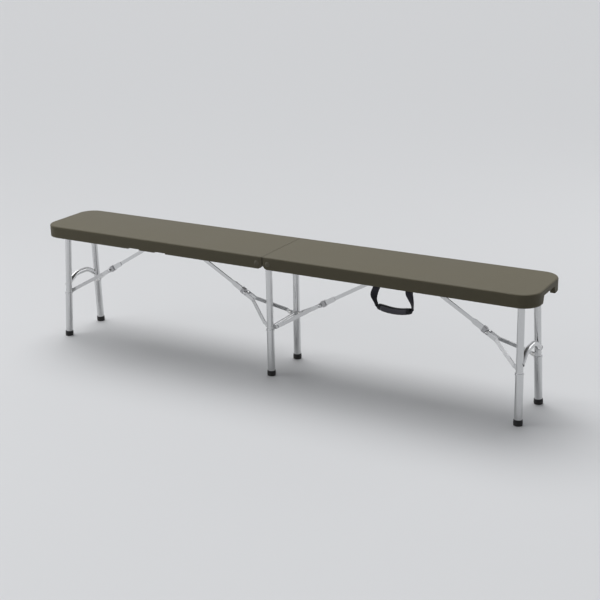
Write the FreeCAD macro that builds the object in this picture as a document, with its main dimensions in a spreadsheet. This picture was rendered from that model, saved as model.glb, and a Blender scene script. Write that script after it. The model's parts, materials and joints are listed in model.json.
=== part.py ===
import FreeCAD, Part
import Sketcher
import math
import os
import re

# Fold-in-half bench. X runs along the seat, Y across it and Z up, in millimetres.
# The origin is on the floor, under the seam in the middle of the seat.
# Two seat halves hinge on the plates that carry the centre legs. Each end leg frame folds
# into its half, and four knee braces hold the leg frames square to the seat.

doc = FreeCAD.newDocument("FoldingBench")
sheet = doc.addObject("Spreadsheet::Sheet", "Sizes")

sizes = [
    ("bench_length", 1830, "overall length of the open seat"),
    ("seat_width", 256, "seat width"),
    ("seat_height", 422, "seat top above the floor"),
    ("seat_thick", 42, "depth of the moulded seat at its skirt"),
    ("corner_radius", 58, "plan radius of the end corners"),
    ("edge_radius", 5, "soft radius of the top edge"),
    ("rim_radius", 2, "radius of the skirt's lower edge"),
    ("seam_gap", 0.6, "half of the gap between the two halves"),
    ("seam_round", 4, "rounding of the upright edges beside the seam"),
    ("skirt_wall", 16, "thickness of the moulded skirt"),
    ("top_skin", 9, "thickness of the moulded top over the leg recess"),
    ("channel_depth", 4, "extra depth of the channel over the braces"),
    ("channel_width", 40, "width of that channel"),
    ("channel_start", 62, "channel's end nearest the seam"),
    ("channel_end", 790, "channel's end nearest the end legs"),
    ("dimple_dia", 20, "round pockets where the two moulded walls meet"),
    ("dimple_depth", 4, "depth of those pockets"),
    ("dimple_pitch", 62, "spacing of those pockets along the seat"),
    ("dimple_row", 62, "distance of their outer rows from the middle"),
    ("grip_notch_low", 110, "hand notch in the end skirt, width at the rim"),
    ("grip_notch_high", 94, "the same, width at its top"),
    ("grip_notch_rise", 24, "height of the hand notch"),
    ("hinge_x", 20.5, "fold pin from the seam"),
    ("hinge_drop", 22.5, "fold pin below the seat top"),
    ("hinge_round", 19.5, "rounding of the skirt about the fold pin"),
    ("pin_dia", 10, "fold pin"),
    ("pin_head_dia", 18, "fold pin's head"),
    ("pin_head", 2.3, "height of that domed head"),
    ("head_dish_dia", 7, "round dish in the middle of that head"),
    ("head_dish", 1, "depth of that dish"),
    ("pin_play", 0.08, "radial play of a fold pin in the seat"),
    ("head_gap", 0.3, "gap between a pin's head and the seat's side"),
    ("shoulder_dia", 15, "fold pin's shoulder between plate and skirt"),
    ("plate_thick", 4, "hinge plate"),
    ("plate_half", 105, "inner face of a hinge plate from the middle"),
    ("plate_radius", 11, "rounding of a hinge plate about its pins"),
    ("leg_top_x", 854, "end leg pivot from the seam"),
    ("leg_top_drop", 26.5, "leg pivots below the seat top"),
    ("leg_foot_x", 867, "end foot from the seam"),
    ("end_top_half", 68, "half spacing of the end legs at their pivot"),
    ("end_foot_half", 92, "half spacing of the end legs at the floor"),
    ("centre_half", 87, "half spacing of the centre legs"),
    ("upper_dia", 22, "upper leg tube"),
    ("lower_dia", 25, "lower leg tube, which is sleeved over the upper one"),
    ("tube_wall", 1.4, "wall of the leg tubes"),
    ("sleeve_play", 0.1, "radial play between the two leg tubes"),
    ("collar_height", 163, "top of the lower leg tube above the floor"),
    ("collar_dia", 27.6, "rolled collar at that top"),
    ("collar_len", 5, "length of the rolled collar"),
    ("sleeve_len", 40, "length of upper tube inside the lower one"),
    ("foot_dia", 28, "foot cap"),
    ("foot_len", 18, "height of the foot cap"),
    ("foot_bevel", 1, "bevel of the foot cap's top edge"),
    ("foot_floor", 4, "thickness of the foot cap's floor"),
    ("top_tube_half", 93.5, "half length of an end frame's top tube"),
    ("journal_dia", 12, "journals at the top tube's ends"),
    ("journal_len", 9, "length of a journal"),
    ("journal_play", 0.08, "radial play of a journal in its bracket"),
    ("arch_dia", 18, "arched cross tube"),
    ("arch_set", 5.5, "end frames' arched tube outside the leg plane"),
    ("arch_crown", 221, "height of the arch's crown above the floor"),
    ("arch_foot", 190, "height of the arch's ends above the floor"),
    ("arch_flat", 70, "spacing of the arch's two bends"),
    ("arch_bend", 70, "radius of those bends"),
    ("cross_dia", 10, "straight cross tube between the centre legs"),
    ("cross_height", 168.2, "height of that tube above the floor"),
    ("brace_drop", 225, "brace pivot from the leg pivot, along the leg"),
    ("end_offset", 10.5, "brace pivot from an end leg's axis"),
    ("centre_offset", 18, "brace pivot from a centre leg's axis"),
    ("centre_pivot_z", 170, "brace pivots of the centre legs above the floor"),
    ("end_link_x", 459, "end link's pivot from the seam"),
    ("centre_link_x", 415, "centre link's pivot from the seam"),
    ("bar_high", 12, "height of the brace bars"),
    ("bar_thick", 4, "thickness of the brace bars"),
    ("knee_high", 17, "height of a link's wide knee plate"),
    ("knee_len", 60, "length of that plate"),
    ("knee_thick", 7, "thickness of that plate"),
    ("knee_taper", 8, "length of the taper at its end"),
    ("knee_half", 7.7, "inner face of a brace arm from the middle, at the knee"),
    ("ear_len", 34, "parallel stretch of a brace arm beside the knee"),
    ("heel_len", 16, "parallel stretch of a brace arm beside the leg"),
    ("end_heel", 65.6, "inner face of an end arm from the middle, at the leg"),
    ("centre_heel", 72, "inner face of a centre arm from the middle, at the leg"),
    ("knee_pin_dia", 9, "knee pin with its spacers"),
    ("knee_pin_gap", 0.4, "gap between the knee pin and each arm"),
    ("ring_start", 6.5, "lock ring's nearest end from the knee"),
    ("ring_len", 14, "length of the lock ring"),
    ("ring_high", 21, "height of the lock ring"),
    ("ring_half", 6.9, "half width of the lock ring"),
    ("ring_play", 0.3, "play of the lock ring round the knee plate"),
    ("rivet_dia", 6, "brace pins"),
    ("rivet_head_dia", 12, "heads of the brace pins"),
    ("rivet_head", 2.6, "height of those domed heads"),
    ("rivet_play", 0.08, "radial play of a brace pin"),
    ("tab_thick", 3, "brace tabs on the legs"),
    ("tab_play", 0.3, "gap between a tab and a brace arm"),
    ("tab_radius", 6.5, "rounding of a brace tab about its pin"),
    ("link_bracket_len", 34, "link bracket, length and width"),
    ("link_bracket_thick", 2.5, "link bracket's sheet"),
    ("link_ear_low", 8, "link bracket's ear below its pin"),
    ("link_ear_play", 0.5, "gap between a link and each ear of its bracket"),
    ("link_ear_len", 18, "length of that ear along the seat"),
    ("leg_bracket_half", 96, "inner face of a leg bracket's ear"),
    ("leg_bracket_thick", 3, "leg bracket's sheet"),
    ("leg_bracket_len", 36, "leg bracket's flange along the seat"),
    ("leg_bracket_wide", 12, "leg bracket's flange across the seat"),
    ("leg_ear_radius", 12, "rounding of the leg bracket's ear"),
    ("screw_dia", 4, "bracket screws"),
    ("screw_bite", 3.5, "screw shank in the seat"),
    ("screw_inset", 5, "screws from the edges of a bracket's flange"),
    ("screw_head_dia", 7.4, "head of those screws"),
    ("screw_head", 2.4, "height of those heads"),
    ("handle_x", 463, "carry handle's middle from the seam"),
    ("strap_spacing", 110, "spacing of the handle's two straps"),
    ("strap_width", 25, "strap webbing width"),
    ("strap_thick", 2.5, "strap webbing thickness"),
    ("strap_fold_dia", 2.8, "rounded fold of a strap under the rim"),
    ("strap_fold_y", 123.5, "fold line of the straps from the middle"),
    ("strap_fold_drop", 4.1, "fold line of the straps below the rim"),
    ("strap_tab_len", 11.5, "screwed end of a strap"),
    ("strap_screw_head", 1.5, "height of a strap screw's washer head"),
    ("strap_drop", 60, "straps from their fold line to the grip's ends"),
    ("strap_lean", 6, "grip's middle line from the straps' fold line, across the seat"),
    ("strap_bow", 8, "how far the strap nearer the seam bows outward"),
    ("far_strap_bow", 1, "the same for the other strap"),
    ("strap_twist", 88, "turn of the strap nearer the seam between its fold and the grip, in degrees"),
    ("far_strap_twist", -45, "turn of the other strap, in degrees"),
    ("strap_entry", 3.5, "middle of a strap from the grip's end"),
    ("strap_end_width", 21, "strap width where it enters the grip"),
    ("grip_high", 19, "height of the handle's oval grip"),
    ("grip_wide", 26, "width of that grip across the seat"),
    ("grip_len", 124, "length of the grip"),
    ("grip_sag", 8, "sag of the grip's middle"),
    ("grip_bend", 90, "radius of the grip's two bends"),
    ("grip_shift", 4, "grip's middle from the straps' middle"),
    ("strap_notch_width", 46, "relief notches for the straps in the other half"),
    ("strap_notch_depth", 4, "depth of those notches"),
]
for row, (alias, value, note) in enumerate(sizes, start=1):
    sheet.set(f"A{row}", note)
    sheet.set(f"B{row}", str(value))
    sheet.setAlias(f"B{row}", alias)
doc.recompute()
aliases = {alias for alias, value, note in sizes}
mm = {alias: float(sheet.get(alias)) for alias in aliases}

nodes = []


def vector(x, y, z):
    return FreeCAD.Vector(x, y, z)


def cell(text):
    """Turn size names in an expression into references to the sheet."""
    return re.sub(r"[a-z_]+", lambda m: "Sizes." + m.group() if m.group() in aliases else m.group(), text)


def bind(item, **values):
    for name, text in values.items():
        item.setExpression(name.replace("__", "."), cell(text))
    return item


def node(label, item):
    item.Label = label
    nodes.append(item)
    return item


def turned(base, x_axis, y_axis):
    """A placement whose own X and Y axes point along the given vectors."""
    z_axis = x_axis.cross(y_axis)
    return FreeCAD.Placement(base, FreeCAD.Rotation(x_axis, y_axis, z_axis, "XYZ"))


def pointing(base, direction):
    return FreeCAD.Placement(base, FreeCAD.Rotation(vector(0, 0, 1), direction))


def box(name, length, width, height, x="0", y="0", z="0"):
    item = doc.addObject("Part::Box", name)
    return bind(item, Length=length, Width=width, Height=height,
                Placement__Base__x=x, Placement__Base__y=y, Placement__Base__z=z)


def rod(name, diameter, length, place):
    item = doc.addObject("Part::Cylinder", name)
    item.Placement = place
    return bind(item, Radius="(" + diameter + ") / 2", Height=length)


def cross_rod(name, diameter, length, x, y, z):
    """A round bar along Y that starts at the given point."""
    item = rod(name, diameter, length, pointing(vector(0, 0, 0), vector(0, 1, 0)))
    return bind(item, Placement__Base__x=x, Placement__Base__y=y, Placement__Base__z=z)


def dome(name, diameter, height, x, y, z, side):
    """A domed head on a flat face at y; side is the direction of Y in which it stands out."""
    item = doc.addObject("Part::Sphere", name)
    round_up = f"((({diameter}) / 2)^2 + ({height})^2) / (2 * ({height}))"
    item.Placement = pointing(vector(0, 0, 0), vector(0, side, 0))
    return bind(item, Radius=round_up, Angle1=f"asin(1 - ({height}) / ({round_up}))",
                Placement__Base__x=x, Placement__Base__z=z,
                Placement__Base__y=f"{y} - ({side}) * ({round_up} - ({height}))")


def frustum(name, low, high, length, place):
    item = doc.addObject("Part::Cone", name)
    item.Placement = place
    return bind(item, Radius1=f"({low}) / 2", Radius2=f"({high}) / 2", Height=length)


def fused(name, *parts):
    item = doc.addObject("Part::MultiFuse", name)
    item.Shapes = list(parts)
    return item


def group(name, *parts):
    item = doc.addObject("Part::Compound", name)
    item.Links = list(parts)
    return item


def cut(name, base, *tools):
    item = doc.addObject("Part::Cut", name)
    item.Base = base
    item.Tool = tools[0] if len(tools) == 1 else group(name + "_tools", *tools)
    return item


def mirrored(name, source, normal):
    item = doc.addObject("Part::Mirroring", name)
    item.Source = source
    item.Normal = normal
    return item


def to_far(name, source):
    return mirrored(name, source, vector(0, 1, 0))


def to_left(name, source):
    return mirrored(name, source, vector(1, 0, 0))


def origin_plane(body, role):
    return [plane for plane in body.Origin.OriginFeatures if plane.Role == role][0]


def outline(body, name, points, lift="0", role="XY_Plane"):
    """A closed sketch whose corners are each bound to the sheet."""
    sketch = body.newObject("Sketcher::SketchObject", name)
    sketch.AttachmentSupport = (origin_plane(body, role), [""])
    sketch.MapMode = "FlatFace"
    bind(sketch, AttachmentOffset__Base__z=lift)
    count = len(points)
    rough = []
    for index in range(count):
        angle = -2 * math.pi * index / count
        rough.append(vector(100 * math.cos(angle), 100 * math.sin(angle), 0))
    for index in range(count):
        sketch.addGeometry(Part.LineSegment(rough[index], rough[(index + 1) % count]), False)
    for index in range(count):
        sketch.addConstraint(Sketcher.Constraint("Coincident", index, 2, (index + 1) % count, 1))
    for index, corner in enumerate(points):
        for kind, axis, text in (("DistanceX", -2, corner[0]), ("DistanceY", -1, corner[1])):
            if text == "0":
                sketch.addConstraint(Sketcher.Constraint("PointOnObject", index, 1, axis))
            else:
                number = sketch.addConstraint(Sketcher.Constraint(kind, -1, 1, index, 1, 10.0))
                sketch.setExpression(f"Constraints[{number}]", cell(text))
    return sketch


def disc(body, name, x, y, diameter, lift="0", role="XY_Plane"):
    """A circle sketch whose centre and diameter are bound to the sheet."""
    sketch = body.newObject("Sketcher::SketchObject", name)
    sketch.AttachmentSupport = (origin_plane(body, role), [""])
    sketch.MapMode = "FlatFace"
    bind(sketch, AttachmentOffset__Base__z=lift)
    sketch.addGeometry(Part.Circle(vector(5, 5, 0), vector(0, 0, 1), 3), False)
    for kind, axis, text in (("DistanceX", -2, x), ("DistanceY", -1, y)):
        if text == "0":
            sketch.addConstraint(Sketcher.Constraint("PointOnObject", 0, 3, axis))
        else:
            number = sketch.addConstraint(Sketcher.Constraint(kind, -1, 1, 0, 3, 5.0))
            sketch.setExpression(f"Constraints[{number}]", cell(text))
    number = sketch.addConstraint(Sketcher.Constraint("Diameter", 0, 6.0))
    sketch.setExpression(f"Constraints[{number}]", cell(diameter))
    return sketch


def pad(body, sketch, length, midplane=False, reverse=False):
    item = body.newObject("PartDesign::Pad", sketch.Name + "_pad")
    item.Profile = sketch
    item.Midplane = midplane
    item.Reversed = reverse
    return bind(item, Length=length)


def pocket(body, sketch, length, midplane=False, reverse=True):
    item = body.newObject("PartDesign::Pocket", sketch.Name + "_pocket")
    item.Profile = sketch
    item.Midplane = midplane
    item.Reversed = reverse
    return bind(item, Length=length)


def round_edges(body, name, feature, radius, chosen):
    """Fillet the edges of a feature that the chosen test accepts."""
    doc.recompute()
    edges = []
    for number, edge in enumerate(feature.Shape.Edges, start=1):
        if chosen(edge):
            edges.append(f"Edge{number}")
    item = body.newObject("PartDesign::Fillet", name)
    item.Base = (feature, edges)
    return bind(item, Radius=radius)


UP = vector(0, 0, 1)
seat_top = mm["seat_height"]
seat_low = seat_top - mm["seat_thick"]
ceiling = seat_top - mm["top_skin"]
channel_top = ceiling + mm["channel_depth"]
half_length = mm["bench_length"] / 2
hinge_z = seat_top - mm["hinge_drop"]
leg_top_z = seat_top - mm["leg_top_drop"]
strap_fold_z = seat_low - mm["strap_fold_drop"]
strap_screw_y = mm["strap_tab_len"] / 2 - mm["strap_fold_y"]
RIM = "seat_height - seat_thick"
CEILING = "seat_height - top_skin"
CHANNEL = "seat_height - top_skin + channel_depth"
HINGE_Z = "seat_height - hinge_drop"
LEG_TOP_Z = "seat_height - leg_top_drop"


def near(value, target):
    return abs(value - target) < 0.01


def upright_at(x):
    """Accept upright edges that stand at the given distance from the seam."""
    def test(edge):
        ends = [vertex.Point for vertex in edge.Vertexes]
        return len(ends) == 2 and all(near(end.x, x) for end in ends) and not near(ends[0].z, ends[1].z)
    return test


def level_at(z, seam):
    """Accept outer edges at the given height, leaving out the edge along the seam."""
    def test(edge):
        ends = [vertex.Point for vertex in edge.Vertexes]
        if not all(near(end.z, z) for end in ends):
            return False
        return not all(near(end.x, seam) for end in ends)
    return test


def seat_blank(prefix):
    """The moulded half's outer shape."""
    body = doc.addObject("PartDesign::Body", prefix + "_blank")
    plan = outline(body, prefix + "_plan", [
        ("seam_gap", "-seat_width / 2"), ("bench_length / 2", "-seat_width / 2"),
        ("bench_length / 2", "seat_width / 2"), ("seam_gap", "seat_width / 2")], RIM)
    block = pad(body, plan, "seat_thick")
    corners = round_edges(body, prefix + "_corners", block, "corner_radius", upright_at(half_length))
    edge = round_edges(body, prefix + "_edge", corners, "edge_radius",
                       level_at(seat_top, mm["seam_gap"]))
    round_edges(body, prefix + "_rim", edge, "rim_radius", level_at(seat_low, mm["seam_gap"]))
    return body


def recess_core(prefix):
    """The space under the top skin: the leg recess with the brace channel above it."""
    body = doc.addObject("PartDesign::Body", prefix + "_core")
    inner = outline(body, prefix + "_inner", [
        ("-10", "skirt_wall - seat_width / 2"),
        ("bench_length / 2 - skirt_wall", "skirt_wall - seat_width / 2"),
        ("bench_length / 2 - skirt_wall", "seat_width / 2 - skirt_wall"),
        ("-10", "seat_width / 2 - skirt_wall")], RIM + " - 5")
    space = pad(body, inner, "seat_thick - top_skin + 5")
    round_edges(body, prefix + "_recess", space, "corner_radius - skirt_wall",
                upright_at(half_length - mm["skirt_wall"]))
    strip = outline(body, prefix + "_strip", [
        ("channel_start", "-channel_width / 2"), ("channel_end", "-channel_width / 2"),
        ("channel_end", "channel_width / 2"), ("channel_start", "channel_width / 2")], RIM)
    pad(body, strip, "seat_thick - top_skin + channel_depth")
    return body


def seat_cutters(prefix):
    """What is cut from a moulded half besides its recess."""
    corner = box(prefix + "_corner_box", "hinge_x + 1", "seat_width + 2", "hinge_round + 1",
                 "-1", "-seat_width / 2 - 1", HINGE_Z + " - hinge_round - 1")
    rounding = cross_rod(prefix + "_rounding", "hinge_round * 2", "seat_width + 4", "hinge_x",
                         "-seat_width / 2 - 2", HINGE_Z)
    tools = [recess_core(prefix), cut(prefix + "_corner_cut", corner, rounding)]
    for place, corner_y, rod_y in (
            ("near", "-seat_width / 2 - 1", "seam_round - seat_width / 2"),
            ("far", "seat_width / 2 - seam_round", "seat_width / 2 - seam_round")):
        block = box(f"{prefix}_{place}_seam_box", "seam_round + 1", "seam_round + 1", "seat_thick + 2",
                    "seam_gap - 1", corner_y, RIM + " - 1")
        post = rod(f"{prefix}_{place}_seam_post", "seam_round * 2", "seat_thick + 4", pointing(vector(0, 0, 0), UP))
        bind(post, Placement__Base__x="seam_gap + seam_round", Placement__Base__y=rod_y,
             Placement__Base__z=RIM + " - 2")
        tools.append(cut(f"{prefix}_{place}_seam_cut", block, post))
    tools.append(cross_rod(prefix + "_pin_bore", "pin_dia + pin_play * 2", "seat_width + 4",
                           "hinge_x", "-seat_width / 2 - 2", HINGE_Z))
    notch = doc.addObject("PartDesign::Body", prefix + "_grip_notch")
    shape = outline(notch, prefix + "_notch", [
        ("-grip_notch_low / 2", RIM + " - 1"), ("grip_notch_low / 2", RIM + " - 1"),
        ("grip_notch_high / 2", RIM + " + grip_notch_rise"),
        ("-grip_notch_high / 2", RIM + " + grip_notch_rise")],
        "bench_length / 2 - skirt_wall - 30", "YZ_Plane")
    pad(notch, shape, "skirt_wall + 40")
    tools.append(notch)
    for number, (x, y, base, sheet_thick) in enumerate(screw_places(), start=1):
        tools.append(rod(f"{prefix}_pilot_{number}", "screw_dia", "screw_bite + 2",
                         pointing(vector(x, y, base - 2), UP)))
    for number, (x, y) in enumerate(dimple_places(), start=1):
        dimple = rod(f"{prefix}_dimple_{number}", "dimple_dia", "dimple_depth + 2",
                     pointing(vector(x, y, ceiling - 2), UP))
        tools.append(dimple)
    return tools


def dimple_places():
    places = []
    count = int((half_length - 190) / mm["dimple_pitch"])
    for step in range(count):
        for side in (-1, 1):
            places.append((90 + step * mm["dimple_pitch"], side * mm["dimple_row"]))
    return places


def screw_places():
    """Plan places of one half's bracket screws, with the seat's face and the sheet's thickness."""
    places = []
    flange_x = mm["leg_bracket_len"] / 2 - mm["screw_inset"]
    flange_y = mm["leg_bracket_half"] + mm["leg_bracket_wide"] - mm["screw_inset"]
    for x in (mm["leg_top_x"] - flange_x, mm["leg_top_x"] + flange_x):
        for y in (-flange_y, flange_y):
            places.append((x, y, ceiling, mm["leg_bracket_thick"]))
    spread = mm["link_bracket_len"] / 2 - mm["screw_inset"]
    for pivot in (mm["end_link_x"], mm["centre_link_x"]):
        for x in (pivot - spread, pivot + spread):
            for y in (-spread, spread):
                places.append((x, y, channel_top, mm["link_bracket_thick"]))
    return places


def strap_middles():
    """Places along the seat of the handle's two straps."""
    return [mm["handle_x"] + side * mm["strap_spacing"] / 2 for side in (-1, 1)]


def seat_halves():
    common = cut("common_panel", seat_blank("common"), *seat_cutters("common"))
    pilots = []
    for number, x in enumerate(strap_middles(), start=1):
        pilots.append(rod(f"strap_pilot_{number}", "screw_dia", "screw_bite * 2 + 2",
                          pointing(vector(x, strap_screw_y, seat_low - 2), UP)))
    node("right_seat_panel", cut("right_panel", common, *pilots))
    notches = []
    for number, x in enumerate(strap_middles(), start=1):
        notches.append(box(f"strap_notch_{number}", "strap_notch_width", "skirt_wall + 4",
                           "strap_notch_depth + 2", f"-{x} - strap_notch_width / 2",
                           "-seat_width / 2 - 2", RIM + " - 2"))
    node("left_seat_panel", cut("left_panel", to_left("left_plain", common), *notches))


def leg_line(x_top, y_top, x_foot, y_foot):
    """A leg's two end points and the unit vector down its axis."""
    top = vector(x_top, y_top, leg_top_z)
    foot = vector(x_foot, y_foot, 0)
    return top, foot, (foot - top).normalize()


def leg_pieces(prefix, line, header):
    """One leg: upper tube coped to its header, lower tube with a rolled collar, foot cap."""
    top, foot, down = line
    up = down * -1
    slant = (foot - top).Length / leg_top_z
    joint = foot + up * (mm["collar_height"] * slant)
    cap_floor = foot + up * mm["foot_floor"]
    upper_len = (joint - top).Length + mm["sleeve_len"]
    lower_len = (joint - cap_floor).Length
    upper_rod = rod(prefix + "_upper_rod", "upper_dia", str(upper_len), pointing(top, down))
    upper_bore = rod(prefix + "_upper_bore", "upper_dia - tube_wall * 2", str(upper_len + 2), pointing(top, down))
    upper = cut(prefix + "_upper", upper_rod, upper_bore, header)
    sleeve = rod(prefix + "_sleeve", "lower_dia", str(lower_len), pointing(cap_floor, up))
    collar = rod(prefix + "_collar", "collar_dia", "collar_len",
                 pointing(joint + down * mm["collar_len"], up))
    bore = rod(prefix + "_bore", "upper_dia + sleeve_play * 2", str(lower_len + 4),
               pointing(cap_floor + down * 2, up))
    lower = cut(prefix + "_lower", fused(prefix + "_lower_rod", sleeve, collar), bore)
    body_len = mm["foot_len"] - mm["foot_bevel"]
    cap_body = rod(prefix + "_cap_body", "foot_dia", "foot_len - foot_bevel + 4", pointing(foot + down * 4, up))
    cap_bevel = frustum(prefix + "_cap_bevel", "foot_dia", "foot_dia - foot_bevel * 2", "foot_bevel",
                        pointing(foot + up * body_len, up))
    cap = fused(prefix + "_cap", cap_body, cap_bevel)
    socket = rod(prefix + "_socket", "lower_dia", "foot_len + 4", pointing(cap_floor, up))
    below = box(prefix + "_below", "foot_dia * 2", "foot_dia * 2", "20", f"{foot.x} - foot_dia",
                f"{foot.y} - foot_dia", "-20")
    return upper, lower, cut(prefix + "_foot", cap, socket, below)


def bent_tube(name, points, radius, high, wide, wall):
    """An oval tube along straight runs joined by tangent arcs, wide along Y; solid if the wall is 0."""
    edges = []
    start = points[0]
    for here, corner, beyond in zip(points, points[1:], points[2:]):
        back = (here - corner).normalize()
        ahead = (beyond - corner).normalize()
        half_turn = (math.pi - back.getAngle(ahead)) / 2
        reach = radius * math.tan(half_turn)
        middle = (back + ahead).normalize() * (radius / math.cos(half_turn) - radius)
        arc_start = corner + back * reach
        arc_end = corner + ahead * reach
        edges.append(Part.LineSegment(start, arc_start).toShape())
        edges.append(Part.Arc(arc_start, corner + middle, arc_end).toShape())
        start = arc_end
    edges.append(Part.LineSegment(start, points[-1]).toShape())
    path = Part.Wire(edges)
    heading = (points[1] - points[0]).normalize()

    def swept(inset):
        if near(high, wide):
            edge = Part.makeCircle(high / 2 - inset, points[0], heading)
        else:
            along = vector(0, 1, 0)
            above = heading.cross(along)
            edge = Part.Ellipse(points[0] + along * (wide / 2 - inset), points[0] + above * (high / 2 - inset),
                                points[0]).toShape()
        return path.makePipeShell([Part.Wire([edge])], True, False)

    item = doc.addObject("Part::Feature", name)
    item.Shape = swept(0).cut(swept(wall)) if wall else swept(0)
    print(name, "volume", round(item.Shape.Volume), "path", round(path.Length, 1), "bend", radius)
    return item


def arch_pipe(line, shift):
    """The arched cross tube between two legs, before it is coped to them."""
    top, foot, down = line
    low = top + down * ((leg_top_z - mm["arch_foot"]) / -down.z)
    high = top + down * ((leg_top_z - mm["arch_crown"]) / -down.z)
    flat = mm["arch_flat"] / 2
    points = [vector(low.x, low.y, low.z), vector(high.x, -flat, high.z),
              vector(high.x, flat, high.z), vector(low.x, -low.y, low.z)]
    return bent_tube("arch_pipe", [point + shift for point in points], mm["arch_bend"],
                     mm["arch_dia"], mm["arch_dia"], mm["tube_wall"])


class Brace:
    """The knee brace between a leg frame and a seat half, in the upright XZ plane."""

    def __init__(self, leg_pivot, folded_pivot, link_x):
        self.leg = leg_pivot
        self.link = vector(link_x, 0, folded_pivot.z)
        open_span = (self.link - leg_pivot).Length
        shut_span = abs(link_x - folded_pivot.x)
        self.link_len = (open_span + shut_span) / 2
        self.arm_len = (open_span - shut_span) / 2
        self.run = (leg_pivot - self.link).normalize()
        self.across = vector(-self.run.z, 0, self.run.x)
        self.knee = self.link + self.run * self.link_len


def end_brace():
    """Geometry of the right end brace, from the leg's place open and folded."""
    top = vector(mm["leg_top_x"], 0, leg_top_z)
    foot = vector(mm["leg_foot_x"], 0, 0)
    down = (foot - top).normalize()
    inward = vector(down.z, 0, -down.x)
    open_pivot = top + down * mm["brace_drop"] + inward * mm["end_offset"]
    folded = top + vector(-mm["brace_drop"], 0, mm["end_offset"])
    return Brace(open_pivot, folded, mm["end_link_x"])


def centre_brace():
    """Geometry of the right centre brace, from its place open and folded."""
    open_pivot = vector(mm["centre_offset"], 0, mm["centre_pivot_z"])
    pin = vector(mm["hinge_x"], 0, hinge_z)
    reach = open_pivot - pin
    folded = pin + vector(-reach.z, 0, reach.x)
    return Brace(open_pivot, folded, mm["centre_link_x"])


def link_piece(name, brace):
    """A flat link from its bracket to the knee, with a wide knee plate."""
    body = doc.addObject("PartDesign::Body", name)
    knee = str(brace.link_len)
    bar = outline(body, name + "_bar", [
        ("0", "-bar_high / 2"), (knee, "-bar_high / 2"), (knee, "bar_high / 2"), ("0", "bar_high / 2")])
    pad(body, bar, "bar_thick", True)
    pad(body, disc(body, name + "_heel", "0", "0", "bar_high"), "bar_thick", True)
    plate = outline(body, name + "_plate", [
        (knee + " - knee_len", "-bar_high / 2"), (knee + " - knee_len + knee_taper", "-knee_high / 2"),
        (knee, "-knee_high / 2"), (knee, "knee_high / 2"),
        (knee + " - knee_len + knee_taper", "knee_high / 2"), (knee + " - knee_len", "bar_high / 2")])
    pad(body, plate, "knee_thick", True)
    pad(body, disc(body, name + "_round", knee, "0", "knee_high"), "knee_thick", True)
    pocket(body, disc(body, name + "_bracket_hole", "0", "0", "rivet_dia + rivet_play * 2"),
           "bar_thick + 2", True)
    pocket(body, disc(body, name + "_knee_hole", knee, "0", "knee_pin_dia"), "knee_thick + 2", True)
    body.Placement = turned(brace.link, brace.run, brace.across)
    return body


def arm_piece(name, brace, heel):
    """The near arm of a brace: parallel beside the knee, then spread towards its leg."""
    body = doc.addObject("PartDesign::Body", name)
    leg = str(brace.arm_len)
    close = "-knee_half"
    wide = "-" + heel
    strap = outline(body, name + "_strap", [
        ("0", close), ("0", close + " - bar_thick"), ("ear_len", close + " - bar_thick"),
        (leg + " - heel_len", wide + " - bar_thick"), (leg, wide + " - bar_thick"), (leg, wide),
        (leg + " - heel_len + bar_thick / 2", wide), ("ear_len + bar_thick / 2", close)])
    pad(body, strap, "bar_high", True)
    for place, x, face in (("ear", "0", "knee_half"), ("heel", leg, heel)):
        pad(body, disc(body, f"{name}_{place}", x, "0", "bar_high", face, "XZ_Plane"), "bar_thick")
    pocket(body, disc(body, name + "_hole", leg, "0", "rivet_dia + rivet_play * 2", heel, "XZ_Plane"),
           "bar_thick * 3", True)
    body.Placement = turned(brace.knee, brace.run, vector(0, 1, 0))
    head = dome(name + "_head", "rivet_head_dia", "rivet_head", str(brace.knee.x), "-(knee_half + bar_thick)",
                str(brace.knee.z), -1)
    return fused(name + "_riveted", body, head)


def knee_pin(name, brace):
    """The pin in the link's knee, with the spacers that keep the arms apart."""
    half = "(knee_half - knee_pin_gap)"
    return cross_rod(name, "knee_pin_dia", half + " * 2", str(brace.knee.x), "-" + half, str(brace.knee.z))


def lock_ring(name, brace):
    """The ring that slides along the link's knee plate."""
    block = doc.addObject("Part::Box", name + "_block")
    bind(block, Length="ring_len", Width="ring_high", Height="ring_half * 2",
         Placement__Base__x="-ring_start - ring_len", Placement__Base__y="-ring_high / 2",
         Placement__Base__z="-ring_half")
    doc.recompute()
    soft = doc.addObject("Part::Fillet", name + "_soft")
    soft.Base = block
    long_edges = []
    for number, edge in enumerate(block.Shape.Edges, start=1):
        ends = [vertex.Point for vertex in edge.Vertexes]
        if near(ends[0].y, ends[1].y) and near(ends[0].z, ends[1].z):
            long_edges.append((number, mm["edge_radius"] / 2, mm["edge_radius"] / 2))
    soft.Edges = long_edges
    slot = box(name + "_slot", "ring_len + 2", "knee_high + ring_play * 2", "knee_thick + ring_play * 2",
               "-ring_start - ring_len - 1", "-knee_high / 2 - ring_play", "-knee_thick / 2 - ring_play")
    ring = cut(name, soft, slot)
    ring.Placement = turned(brace.knee, brace.run, brace.across)
    return ring


def stud(name, pivot, heel):
    """A headed brace stud through the near arm's heel, welded into its tab."""
    base = f"-({heel} + bar_thick + tab_play + tab_thick)"
    shank = cross_rod(name + "_shank", "rivet_dia", "bar_thick + tab_play + tab_thick", str(pivot.x),
                      base, str(pivot.z))
    head = dome(name + "_head", "rivet_head_dia", "rivet_head", str(pivot.x), "-" + heel, str(pivot.z), 1)
    return fused(name, shank, head)


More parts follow.
